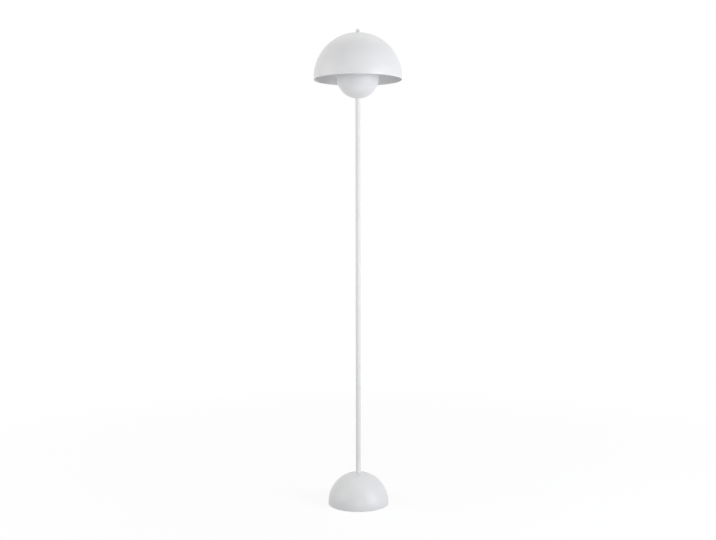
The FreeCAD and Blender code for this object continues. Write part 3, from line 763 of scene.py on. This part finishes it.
coat(zinc, "pole_inserts")

pole_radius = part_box("pole_lower")[1].x
pole_white = powder_coat("powder_white_pole")
pole_wall = 0.001
pole_bevel = 0.0003
pole_end = 0.004
pole_spacing = 0.0122
for node in ("pole_lower", "pole_upper"):
    low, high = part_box(node)
    tube = eased([
        (pole_radius - pole_wall, low.z, pole_bevel / 2),
        (pole_radius, low.z, pole_bevel),
        *rows(pole_radius, low.z + pole_end, high.z - pole_end, pole_spacing),
        (pole_radius, high.z, pole_bevel),
        (pole_radius - pole_wall, high.z, pole_bevel / 2),
    ], pole_bevel, 4)
    settle(turned(node.replace("pole", "tube"), tube, 96), "stand", pole_white, "white_lacquer", node)


# --- lower bowl ---------------------------------------------------------------------------------------
# A smaller spun bowl, open upwards, that stands on the pole and hides the bulb from below. A washer and a
# nut hold it on the threaded tube.

bowl_low, bowl_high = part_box("lower_bowl")
bowl_radius = bowl_high.x
bowl_wall = 0.0012
bowl_flat = 0.010
bowl_centre = bowl_low.z + math.sqrt(bowl_radius ** 2 - bowl_flat ** 2)
bowl_white = powder_coat("powder_white_bowl", bowl_centre, bowl_radius)
bowl = turned("light_bowl", dome_outline(bowl_radius, bowl_wall, bowl_centre, bowl_high.z, bowl_low.z,
                                         tube_radius + tube_play))
settle(bowl, "stand", bowl_white, "white_lacquer", "lower_bowl")
washer("bowl_flat_washer", "bowl_washer", zinc, "zinc_steel")
hex_nut("bowl_hex_nut", "bowl_nut", nut_hole, nut_wall)


# --- harp ---------------------------------------------------------------------------------------------
# A strip of zinc-plated steel bent to a loop round the bulb. Its foot is held by the lampholder on the
# threaded tube, and the stud that carries shade and knob is riveted and locked through its head.

def strip_recipe():
    """A flat strip with rounded edges along a closed line of corners, each corner bent to a radius."""
    recipe = Recipe("bent_strip", width=0.01, thickness=0.0015, bend=0.009, edge=0.0005)
    width, thickness, bend, edge = recipe.sizes("width", "thickness", "bend", "edge")
    line = recipe.node("GeometryNodeMeshToCurve", {}, recipe.blank)
    bent = recipe.node("GeometryNodeFilletCurve", {"mode": "POLY"}, line, Count=10, Radius=bend)
    section = recipe.node("GeometryNodeCurvePrimitiveQuadrilateral", {}, width, thickness)
    rounded = recipe.node("GeometryNodeFilletCurve", {"mode": "POLY"}, section, Count=4, Radius=edge)
    recipe.end(recipe.node("GeometryNodeCurveToMesh", {}, bent, rounded))
    return recipe


harp_low, harp_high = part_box("harp")
harp_strip = 0.0015
harp_edge = 0.00055
harp_bend = 0.009
harp_leg = harp_high.x - harp_strip / 2
harp_foot = 0.021
harp_head = 0.011
harp_flare = 0.018
harp_shoulder = 0.046
harp_bottom = harp_low.z + harp_strip / 2
harp_top = harp_high.z - harp_strip / 2
harp_right = [(harp_foot, harp_bottom), (harp_leg, harp_low.z + harp_flare),
              (harp_leg, harp_top - harp_shoulder), (harp_head, harp_top)]
harp_corners = [(x, 0, z) for x, z in harp_right] + [(-x, 0, z) for x, z in reversed(harp_right)]
harp_count = len(harp_corners)
harp_line = bpy.data.meshes.new("harp_loop")
harp_line.from_pydata(harp_corners, [(spot, (spot + 1) % harp_count) for spot in range(harp_count)], [])
harp = placed("harp_loop", harp_line)
strip_recipe().work(harp, zinc, sharp=50.0, width=harp_high.y - harp_low.y, thickness=harp_strip,
                    bend=harp_bend, edge=harp_edge)
stud_radius = 0.0025
stud_hole = stud_radius + 0.00015
bore(harp, tube_radius + tube_play, (0, 0, harp_low.z - drill_past), (0, 0, harp_low.z + drill_past))
bore(harp, stud_hole, (0, 0, harp_high.z - drill_past), (0, 0, harp_high.z + drill_past))
settle(harp, "stand", zinc, "zinc_steel", "harp")

stud_low, stud_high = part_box("harp_stud")
stud_head = stud_high.x
stud_cap = 0.0015
stud_pitch = 0.0008
stud_thread = 0.00045
stud_root = stud_radius - stud_thread
stud_runout = 0.0004
stud_outline = eased([
    (0, stud_low.z),
    (stud_head, stud_low.z, 0.0009),
    (stud_head, stud_low.z + stud_cap, 0.0001),
    (stud_radius, stud_low.z + stud_cap, 0.0),
    (stud_radius, harp_high.z - 0.0001, 0.0),
    *rows(stud_root, harp_high.z, stud_high.z - stud_runout, stud_pitch / 8),
    (stud_root - 0.0003, stud_high.z, 0.0),
    (0, stud_high.z),
], 0.0002, 5)
stud = turned("harp_threaded_stud", stud_outline, 48)
thread.work(stud, zinc, pitch=stud_pitch, depth=stud_thread, low=harp_high.z - stud_runout,
            high=stud_high.z, wall=stud_root * 0.97)
settle(stud, "stand", zinc, "zinc_steel", "harp_stud")
stud_nut_wall = 0.0015
hex_nut("harp_hex_nut", "harp_nut", stud_radius + thread_play, stud_nut_wall)


# --- lampholder ---------------------------------------------------------------------------------------
# A white thermoplastic holder for a small screw bulb: a ribbed cap on the threaded tube and a shell that
# screws down over the steatite core. The core carries the rolled brass screw shell and the contacts.

holder = Finish("holder_thermoplastic", Specular_IOR_Level=0.5)
holder_flow = holder.grain(0.008, 3.0)
holder.drift(holder_flow, (0.74, 0.74, 0.715, 1), (0.79, 0.79, 0.77, 1), 0.34, 0.46)
holder.relief(holder.grain(0.0005, 3.0), 0.00002)

steatite = Finish("steatite", Specular_IOR_Level=0.4)
steatite_body = steatite.grain(0.003, 4.0)
steatite_speck = steatite.grain(0.0005, 2.0)
steatite.set(Base_Color=steatite.tint(steatite_body * 0.7 + steatite_speck * 0.3, (0.72, 0.70, 0.65, 1),
                                      (0.82, 0.81, 0.78, 1)))
steatite.set(Roughness=steatite.spread(steatite_speck, *noise_range, 0.6, 0.78))
steatite.relief(steatite_speck, 0.00004)

brass = Finish("rolled_brass", Metallic=1.0)
brass_cloud = brass.grain(0.004, 3.0)
brass_rub = brass.grain(0.0004, 2.0, (1.0, 1.0, 0.2))
brass.set(Base_Color=brass.tint(brass.spread(brass_cloud, 0.3, 0.75), (0.70, 0.50, 0.22, 1),
                                (0.60, 0.40, 0.17, 1)))
brass.set(Roughness=brass.spread(brass_cloud * 0.5 + brass_rub * 0.5, *noise_range, 0.2, 0.4))
brass.relief(brass_rub, 0.00001)

cap_low, cap_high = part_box("lampholder_cap")
holder_radius = cap_high.x
holder_wall = 0.0018
holder_bore = holder_radius - holder_wall
cap_neck = 0.008
cap_collar = cap_low.z + 0.005
cap_shoulder = cap_low.z + 0.010
cap_entry = cap_low.z + 0.006
rib_low = cap_shoulder + 0.0014
rib_spacing = 0.0004
cap_outline = eased([
    (nut_hole, cap_low.z, 0.0003),
    (cap_neck, cap_low.z, 0.0005),
    (cap_neck, cap_collar, 0.0008),
    (holder_radius, cap_shoulder, 0.0012),
    *rows(holder_radius, rib_low, cap_high.z - 0.0006, rib_spacing),
    (holder_radius, cap_high.z, 0.0003),
    (holder_bore, cap_high.z, 0.0002),
    (holder_bore, cap_shoulder + holder_wall, 0.0005),
    (cap_neck - holder_wall / 3, cap_entry, 0.0003),
    (nut_hole, cap_entry, 0.0002),
], 0.0003, 5)
cap = turned("lampholder_lower_half", cap_outline, 240)
flutes.work(cap, holder, count=30.0, depth=0.0005, low=rib_low, high=cap_high.z - 0.0012,
            wall=holder_bore * 1.02)
settle(cap, "stand", holder, "holder_plastic", "lampholder_cap")

cover_low, cover_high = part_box("lampholder_shell")
cover_mouth = holder_bore - 0.0034
groove_low = cover_low.z + 0.004
groove_step = 0.0009
groove_depth = 0.0004
ring_grooves = [(holder_radius - groove_depth * (notch % 2), groove_low + groove_step * notch, 0.0002)
                for notch in range(7)]
cover_outline = eased([
    (holder_bore, cover_low.z, 0.0002),
    (holder_radius, cover_low.z, 0.0004),
    *ring_grooves,
    (holder_radius, cover_high.z, 0.0014),
    (cover_mouth, cover_high.z, 0.0005),
    (cover_mouth, cover_high.z - holder_wall, 0.0003),
    (holder_bore, cover_high.z - holder_wall, 0.0004),
], 0.0003, 5)
settle(turned("lampholder_upper_half", cover_outline), "stand", holder, "holder_plastic", "lampholder_shell")

coat(steatite, "lampholder_core")
coat(brass, "lampholder_contact")
terminal_low, terminal_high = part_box("lampholder_terminal_screws")
terminal_side = terminal_high.y - pan_head
terminal_seat = terminal_low.z + pan_crown
terminals = set_out_at("lampholder_terminals", pan_screw(brass, terminal_high.z - terminal_seat),
                       [(0, -terminal_side, terminal_seat), (0, terminal_side, terminal_seat)], brass)
settle(terminals, "stand", brass, "brass", "lampholder_terminal_screws")

rolled_pitch = 0.00282
rolled_depth = 0.0005


def rolled_tube(name, outer, wall, low, high, thread_top, sides, points):
    """Thin brass with a round screw thread rolled into it, drawn with so many sides and points a turn."""
    spacing = rolled_pitch / points
    outline = [*rows(outer, low, high, spacing), *rows(outer - wall, high, low, spacing)]
    tube = turned(name, outline, sides, 60.0)
    return thread.work(tube, brass, sharp=60.0, pitch=rolled_pitch, depth=rolled_depth, low=low,
                       high=thread_top, roundness=1.0)


screw_shell_low, screw_shell_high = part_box("lampholder_screw_shell")
screw_shell = rolled_tube("rolled_screw_shell", screw_shell_high.x - rolled_depth, 0.0004, screw_shell_low.z,
                          screw_shell_high.z, screw_shell_high.z, 72, 14)
settle(screw_shell, "stand", brass, "brass", "lampholder_screw_shell")


# --- leads --------------------------------------------------------------------------------------------
# The live and neutral leads, PVC on stranded copper, from the terminal block up through the pole to the
# lampholder's terminals.

def pvc(name, deep, bright):
    """Coloured cable insulation, its colour smeared a little along the lead by the extruder."""
    made = Finish(name, Specular_IOR_Level=0.45)
    made.drift(made.grain(0.004, 3.0, (1.0, 1.0, 0.2)), deep, bright, 0.36, 0.52)
    made.relief(made.grain(0.0005, 2.0), 0.00002)
    return made


coat(pvc("brown_pvc", (0.055, 0.02, 0.008, 1), (0.075, 0.03, 0.012, 1)), "lead_brown")
coat(pvc("blue_pvc", (0.008, 0.055, 0.25, 1), (0.014, 0.08, 0.32, 1)), "lead_blue")


# --- bulb ---------------------------------------------------------------------------------------------
# A small screw LED bulb: solder on black glass, a rolled cap, a moulded collar, the board with its eight
# chips, and an opal globe pushed onto the collar.

black_glass = Finish("black_vitrite", Specular_IOR_Level=0.6)
glass_swirl = black_glass.grain(0.002, 3.0)
black_glass.drift(glass_swirl, grey(0.006), grey(0.016), 0.06, 0.16)
black_glass.relief(glass_swirl, 0.00003)

collar_gloss = Finish("collar_gloss_plastic", Specular_IOR_Level=0.5, Coat_Weight=0.3, Coat_Roughness=0.08)
collar_gloss.drift(collar_gloss.grain(0.006, 3.0), grey(0.79), grey(0.83), 0.2, 0.3)
collar_gloss.relief(collar_gloss.grain(0.0007, 2.0), 0.00001)

opal = Finish("opal_diffuser", Specular_IOR_Level=0.45, Subsurface_Weight=0.3, Subsurface_Scale=0.004,
              Subsurface_Radius=(1.0, 1.0, 1.0))
opal.drift(opal.grain(0.012, 3.0), (0.86, 0.86, 0.845, 1), (0.90, 0.90, 0.89, 1), 0.3, 0.38)
opal.relief(opal.grain(0.0008, 2.0), 0.00001)

solder_mask = Finish("white_solder_mask", Specular_IOR_Level=0.5)
solder_mask.drift(solder_mask.grain(0.003, 3.0), grey(0.78), grey(0.84), 0.3, 0.42)
solder_mask.relief(solder_mask.grain(0.0004, 2.0), 0.00002)

phosphor = Finish("phosphor_gel", Specular_IOR_Level=0.4, Coat_Weight=0.4, Coat_Roughness=0.15)
gel_grain = phosphor.grain(0.0004, 4.0)
phosphor.drift(gel_grain, (0.78, 0.50, 0.05, 1), (0.86, 0.62, 0.10, 1), 0.4, 0.6)
phosphor.relief(gel_grain, 0.00002)

button_low, button_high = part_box("bulb_contact")
button_outline = eased([(0, button_low.z), (button_high.x, button_low.z, 0.0009),
                        (button_high.x, button_high.z, 0.0002), (0, button_high.z)], 0.0002, 6)
settle(turned("bulb_solder_contact", button_outline, 48), "bulb_carrier", brass, "brass", "bulb_contact")

glass_low, glass_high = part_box("bulb_insulator")
glass_inner = button_high.x + 0.0003
glass_edge = glass_low.z + 0.0022
glass_outline = eased([
    (0, glass_low.z),
    (glass_inner, glass_low.z, 0.0004),
    (glass_high.x, glass_edge, 0.0008),
    (glass_high.x, glass_high.z, 0.0002),
    (0, glass_high.z),
], 0.0003, 5)
settle(turned("bulb_black_glass", glass_outline, 64), "bulb", black_glass, "black_glass", "bulb_insulator")

shell_cap_low, shell_cap_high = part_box("bulb_screw_cap")
cap_wall = 0.00035
cap_root = shell_cap_high.x - rolled_depth
cap_thread_top = shell_cap_low.z + 6 * rolled_pitch
screw_cap = rolled_tube("bulb_rolled_cap", cap_root, cap_wall, shell_cap_low.z, shell_cap_high.z,
                        cap_thread_top, 96, 16)
settle(screw_cap, "bulb", brass, "brass", "bulb_screw_cap")

collar_low, collar_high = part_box("bulb_collar")
collar_neck = cap_root - cap_wall - thread_play
collar_wall = 0.0012
collar_shoulder = collar_low.z + 0.004
collar_foot = 0.0093
collar_rise = collar_high.z - collar_shoulder
collar_flare = collar_high.x - collar_foot
collar_steps = 30
collar_side = [(collar_foot + collar_flare * step / collar_steps,
                collar_shoulder + collar_rise * step / collar_steps, 0.0)
               for step in range(2, collar_steps - 1)]
collar_outline = eased([
    (collar_neck - collar_wall, collar_low.z, 0.0002),
    (collar_neck, collar_low.z, 0.0002),
    (collar_neck, collar_shoulder, 0.0),
    (collar_foot, collar_shoulder, 0.0005),
    *collar_side,
    (collar_high.x, collar_high.z, 0.0003),
    (collar_high.x - collar_wall, collar_high.z, 0.0002),
    (collar_foot - collar_wall, collar_shoulder + collar_wall, 0.0004),
    (collar_neck - collar_wall, collar_shoulder + collar_wall, 0.0002),
], 0.0003, 5)
collar = turned("bulb_moulded_collar", collar_outline, 192)
flutes.work(collar, collar_gloss, sharp=70.0, depth=0.0004, low=collar_shoulder + 0.0015,
            high=collar_high.z - 0.002, wall=collar_foot)
settle(collar, "bulb", collar_gloss, "collar_white", "bulb_collar")

board_low, board_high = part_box("led_board")
board_outline = eased([(0, board_low.z), (board_high.x, board_low.z), (board_high.x, board_high.z),
                       (0, board_high.z)], 0.00015, 3)
settle(turned("led_round_board", board_outline, 96), "bulb", solder_mask, "board", "led_board")

chip_low, chip_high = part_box("led_chips")
chip_half = 0.0015
chip_count = 8
chip_ring = chip_high.x - chip_half
chip_edge = 0.0002
chip = moulded("led_chip", Vector((-chip_half, -chip_half, 0)),
               Vector((chip_half, chip_half, chip_high.z - chip_low.z)), chip_edge, 2)
chip_turns = [2 * math.pi * spot / chip_count for spot in range(chip_count)]
chip_places = [(chip_ring * math.cos(turn), chip_ring * math.sin(turn), chip_low.z) for turn in chip_turns]
chips = set_out_at("led_chip_ring", chip, chip_places, phosphor)
settle(chips, "bulb", phosphor, "phosphor", "led_chips")

globe_low, globe_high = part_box("bulb_globe")
globe_radius = globe_high.x
globe_wall = 0.001
globe_centre = globe_high.z - globe_radius
globe_foot = math.degrees(math.asin((globe_low.z - globe_centre) / globe_radius))
globe_inner_foot = math.degrees(math.asin((globe_low.z - globe_centre) / (globe_radius - globe_wall)))
globe_outline = [
    *curve(globe_centre, globe_radius, globe_foot, 90, 72),
    *curve(globe_centre, globe_radius - globe_wall, 90, globe_inner_foot, 72),
]
settle(turned("bulb_opal_globe", globe_outline, 144), "bulb", opal, "opal", "bulb_globe")


# --- shade --------------------------------------------------------------------------------------------
# The spun steel dome, white inside and out, with its crown flattened under the knob. It rests and turns
# on a nylon washer on top of the harp.

washer("shade_nylon_seat", "shade_seat", nylon, "nylon", "shade_carrier", stud_hole)

shade_low, shade_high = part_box("upper_shade")
shade_radius = shade_high.x
shade_wall = 0.0012
shade_skirt = 0.006
shade_centre = shade_low.z + shade_skirt
shade_white = powder_coat("powder_white_shade", shade_centre, shade_radius)
shade = turned("dome_shade", dome_outline(shade_radius, shade_wall, shade_centre, shade_low.z, shade_high.z,
                                          stud_radius + tube_play), 256)
settle(shade, "shade", shade_white, "white_lacquer", "upper_shade")


# --- knob ---------------------------------------------------------------------------------------------
# A turned steel ball on a short neck, bored and threaded from below. It screws onto the harp's stud and
# clamps the shade, over a nylon washer.

washer("knob_nylon_washer", "finial_washer", nylon, "nylon", "finial_carrier", stud_hole)

knob_low, knob_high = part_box("finial")
knob_radius = knob_high.x
knob_neck = 0.004
knob_centre = knob_high.z - knob_radius
knob_bore = stud_radius + thread_play
knob_depth = 0.0086
knob_white = powder_coat("powder_white_knob")
knob_waist = -math.degrees(math.acos(knob_neck / knob_radius))
knob_outline = eased([
    (knob_bore, knob_low.z, 0.0003),
    (knob_neck, knob_low.z, 0.0005),
    *curve(knob_centre, knob_radius, knob_waist, 90, 48),
    (0, knob_low.z + knob_depth),
    (knob_bore, knob_low.z + knob_depth, 0.0),
], 0.0003, 5)
settle(turned("ball_knob", knob_outline, 96), "finial_knob", knob_white, "white_lacquer", "finial")


# --- studio -------------------------------------------------------------------------------------------
# A white sweep seen from a little above the lamp's middle. Large soft lights stand on the right and, weaker,
# on the left, small ones low in front and overhead, and all round is white. The floor keeps the lamp's
# shadow, and the camera sees through it from beneath.

room_light = 0.49
floor_shade = grey(0.30)
floor_glow = 0.765
floor_half = 6.0
shadow_reach = (0.5, 1.8)
bounce_reach, bounce_shades = (0.2, 1.4), (0.5, 0.92)

floor_mesh = bpy.data.meshes.new("floor")
floor_corners = [(-floor_half, -floor_half, 0), (floor_half, -floor_half, 0),
                 (floor_half, floor_half, 0), (-floor_half, floor_half, 0)]
floor_mesh.from_pydata(floor_corners, [], [(0, 1, 2, 3)])
floor = placed("floor", floor_mesh)


def sight(nodes):
    """The camera's own rays, and these with the ones that reach it by way of metal or glass."""
    camera_ray = nodes.node("ShaderNodeLightPath", {}, output="Is Camera Ray")
    seen = camera_ray.maths("MAXIMUM", camera_ray, camera_ray.beside("Is Glossy Ray"))
    return camera_ray, seen.maths("MAXIMUM", seen, camera_ray.beside("Is Transmission Ray"))


sweep = Finish("white_sweep", Specular_IOR_Level=0.0, Roughness=1.0, Base_Color=floor_shade,
               Emission_Color=grey(1.0), Emission_Strength=floor_glow)
sweep_far = sweep.node("ShaderNodeVectorMath", {"operation": "LENGTH"}, sweep.place, output="Value")
camera_ray, floor_seen = sight(sweep)
white = sweep.node("ShaderNodeEmission", {}, Strength=1.0)
bounce = sweep.node("ShaderNodeBsdfDiffuse", {},
                    Color=sweep.spread(sweep_far, *bounce_reach, *bounce_shades))
shadowed = sweep.node("ShaderNodeMixShader", {}, sweep.spread(sweep_far, *shadow_reach),
                      Signal(sweep, sweep.surface.outputs[0]), white)
sheet = sweep.node("ShaderNodeMixShader", {}, floor_seen, bounce, shadowed)
under = sweep.node("ShaderNodeNewGeometry", {}, output="Backfacing")
whole = sweep.node("ShaderNodeMixShader", {}, under * camera_ray, sheet,
                   sweep.node("ShaderNodeBsdfTransparent", {}))
sweep.tree.links.new(whole.socket, sweep.tree.nodes["Material Output"].inputs["Surface"])
floor.data.materials.append(sweep.material)


class Room(Nodes):
    """The nodes of the world round the lamp."""

    def __init__(self, name):
        world = bpy.data.worlds.new(name)
        world.use_nodes = True
        self.tree = world.node_tree
        bpy.context.scene.world = world


room = Room("studio")
_, room_seen = sight(room)
room_soft = room.node("ShaderNodeBackground", {}, grey(1.0), room_light)
room_white = room.node("ShaderNodeBackground", {}, grey(1.0), 1.0)
room_choice = room.node("ShaderNodeMixShader", {}, room_seen, room_soft, room_white)
room.tree.links.new(room_choice.socket, room.tree.nodes["World Output"].inputs["Surface"])


def soft_box(name, place, aim, size, watts, colour):
    """A rectangular light at a place, turned to a height on the lamp's axis."""
    lamp = bpy.data.lights.new(name, "AREA")
    lamp.shape = "RECTANGLE"
    lamp.size, lamp.size_y = size
    lamp.energy = watts
    lamp.color = colour
    tripod = placed(name, lamp)
    tripod.location = place
    tripod.rotation_euler = (Vector((0, 0, aim)) - Vector(place)).to_track_quat("-Z", "Y").to_euler()


cool, cooler, warm = (0.95, 0.96, 1.0), (0.925, 0.945, 1.0), (1.0, 1.0, 0.99)
soft_box("soft_box_right", (2.3, -1.45, 1.0), aim=1.0, size=(1.8, 2.0), watts=36.0, colour=cooler)
soft_box("soft_box_left", (-2.4, -0.6, 1.3), aim=1.0, size=(1.6, 2.4), watts=15.0, colour=warm)
soft_box("soft_box_front", (0.2, -2.6, 0.35), aim=1.1, size=(0.6, 0.5), watts=5.6, colour=cool)
soft_box("soft_box_above", (0, 0.8, 3.3), aim=0.8, size=(2.2, 2.2), watts=8.5, colour=(1.0, 1.0, 1.0))

camera_back, camera_height = 2.5196, 0.7659
camera_tilt, camera_roll = 0.0567, 0.0014
camera = bpy.data.cameras.new("camera")
camera.sensor_width = 36.0
camera.lens = 48.20
eye = placed("camera", camera)
eye.location = (0, -camera_back, camera_height)
eye.rotation_euler = (math.pi / 2 - camera_tilt, camera_roll, 0)
bpy.context.scene.camera = eye
bpy.context.scene.view_settings.view_transform = "Standard"
